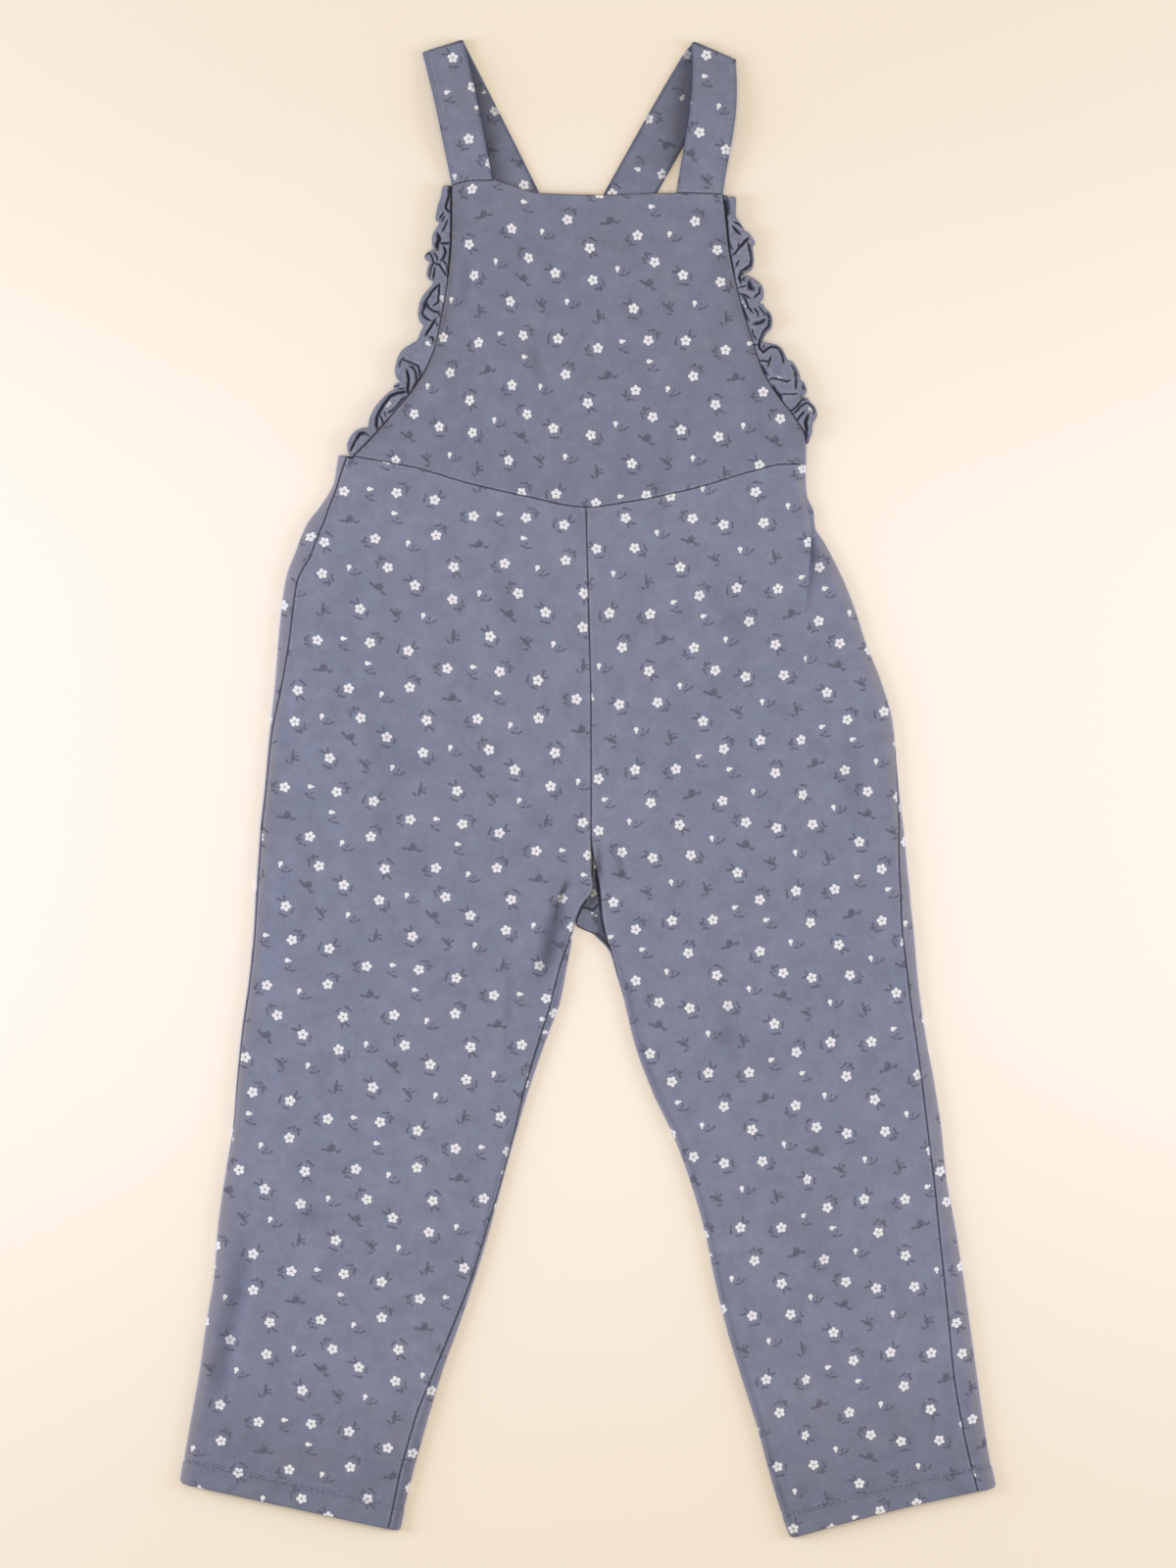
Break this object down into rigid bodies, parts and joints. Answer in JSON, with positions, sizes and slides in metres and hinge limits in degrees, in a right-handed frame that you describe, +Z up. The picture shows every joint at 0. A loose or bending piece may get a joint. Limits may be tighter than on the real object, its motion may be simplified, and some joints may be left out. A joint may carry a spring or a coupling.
{
  "type": "toddler's dungaree jumpsuit laid flat",
  "caption": "Toddler's dungaree jumpsuit in soft jersey, laid flat with its front up: bib with ruffled sides, folded shoulder straps and long straight legs.",
  "frame": {"origin": "centre of the laid garment's outline, on the surface that it lies on", "axes": "+X towards the wearer's left, +Y from the hems up to the shoulder folds, +Z up, out of the garment's front"},
  "size_m": [0.4576, 0.8408, 0.0065],
  "materials": {
    "bib": "soft printed jersey, dusty blue",
    "legs": "soft printed jersey, dusty blue",
    "back": "soft printed jersey, dusty blue",
    "straps": "doubled printed jersey, topstitched",
    "ruffles": "gathered doubled printed jersey"
  },
  "bodies": {
    "root": {"bib": "bib", "front_right_leg": "legs", "front_left_leg": "legs", "back_right_leg": "back", "back_left_leg": "back", "back_band": "back", "strap_right": "straps", "strap_left": "straps", "ruffle_right": "ruffles", "ruffle_left": "ruffles"}
  },
  "joints": []
}
